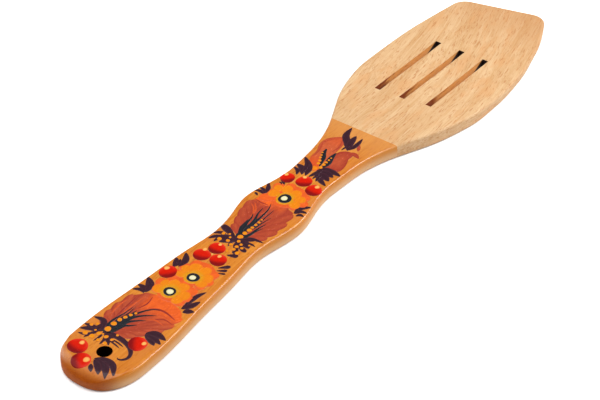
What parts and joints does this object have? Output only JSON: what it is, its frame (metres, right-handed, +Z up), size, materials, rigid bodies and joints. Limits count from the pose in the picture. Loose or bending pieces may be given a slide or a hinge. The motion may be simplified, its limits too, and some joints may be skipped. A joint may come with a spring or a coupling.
{
  "type": "slotted wooden turner with painted handle",
  "caption": "Flat slotted wooden turner with a slanted tip, a waisted handle painted with flowers, leaves and berries, amber lacquer over the handle and a hanging hole.",
  "frame": {"origin": "centre of the bounding box in plan, on the flat underside", "axes": "+X along the turner from the handle's end to the blade's tip, +Y to the left of a person holding it, +Z up out of the painted face"},
  "size_m": [0.3044, 0.0626, 0.0066],
  "materials": {
    "beech": "bare, sanded smooth",
    "amber_lacquer": "glossy amber lacquer over wood grain",
    "aubergine_paint": "gloss",
    "teal_black_paint": "gloss",
    "brick_paint": "gloss",
    "orange_paint": "gloss",
    "red_paint": "gloss",
    "yellow_paint": "gloss",
    "cream_paint": "gloss"
  },
  "bodies": {
    "root": {"beech_body": "beech", "berry_01": "red_paint", "berry_02": "red_paint", "berry_03": "red_paint", "berry_04": "red_paint", "berry_05": "red_paint", "berry_06": "red_paint", "berry_07": "red_paint", "berry_08": "red_paint", "berry_09": "red_paint", "berry_10": "red_paint", "berry_leaf_left": "aubergine_paint", "berry_leaf_upper": "aubergine_paint", "crown_leaf_left": "aubergine_paint", "crown_leaf_right": "aubergine_paint", "end_dots": "yellow_paint", "end_leaf": "aubergine_paint", "end_spray": "aubergine_paint", "flower_heart_1": "cream_paint", "flower_heart_2": "cream_paint", "flower_heart_3": "cream_paint", "flower_leaf_left": "aubergine_paint", "flower_leaf_right": "aubergine_paint", "flower_petals_1": "orange_paint", "flower_petals_2": "orange_paint", "flower_petals_3": "orange_paint", "flower_ring_1": "teal_black_paint", "flower_ring_2": "teal_black_paint", "flower_ring_3": "teal_black_paint", "lacquer_coat": "amber_lacquer", "loose_strokes": "aubergine_paint", "lower_leaf": "brick_paint", "lower_leaf_dots": "yellow_paint", "lower_leaf_fronds": "teal_black_paint", "middle_leaf": "brick_paint", "middle_leaf_dots": "yellow_paint", "middle_leaf_fronds": "teal_black_paint", "middle_spray_dots_left": "yellow_paint", "middle_spray_dots_right": "yellow_paint", "middle_spray_left": "aubergine_paint", "middle_spray_right": "aubergine_paint", "scroll": "aubergine_paint", "side_leaf_lower": "aubergine_paint", "tip_leaf": "aubergine_paint", "tulip_dots": "yellow_paint", "tulip_heart": "teal_black_paint", "tulip_leaf_left": "aubergine_paint", "tulip_leaf_right": "aubergine_paint", "tulip_petal_lower": "brick_paint", "tulip_petal_upper": "brick_paint", "tulip_sepal": "orange_paint", "tulip_tail": "brick_paint"}
  },
  "joints": []
}
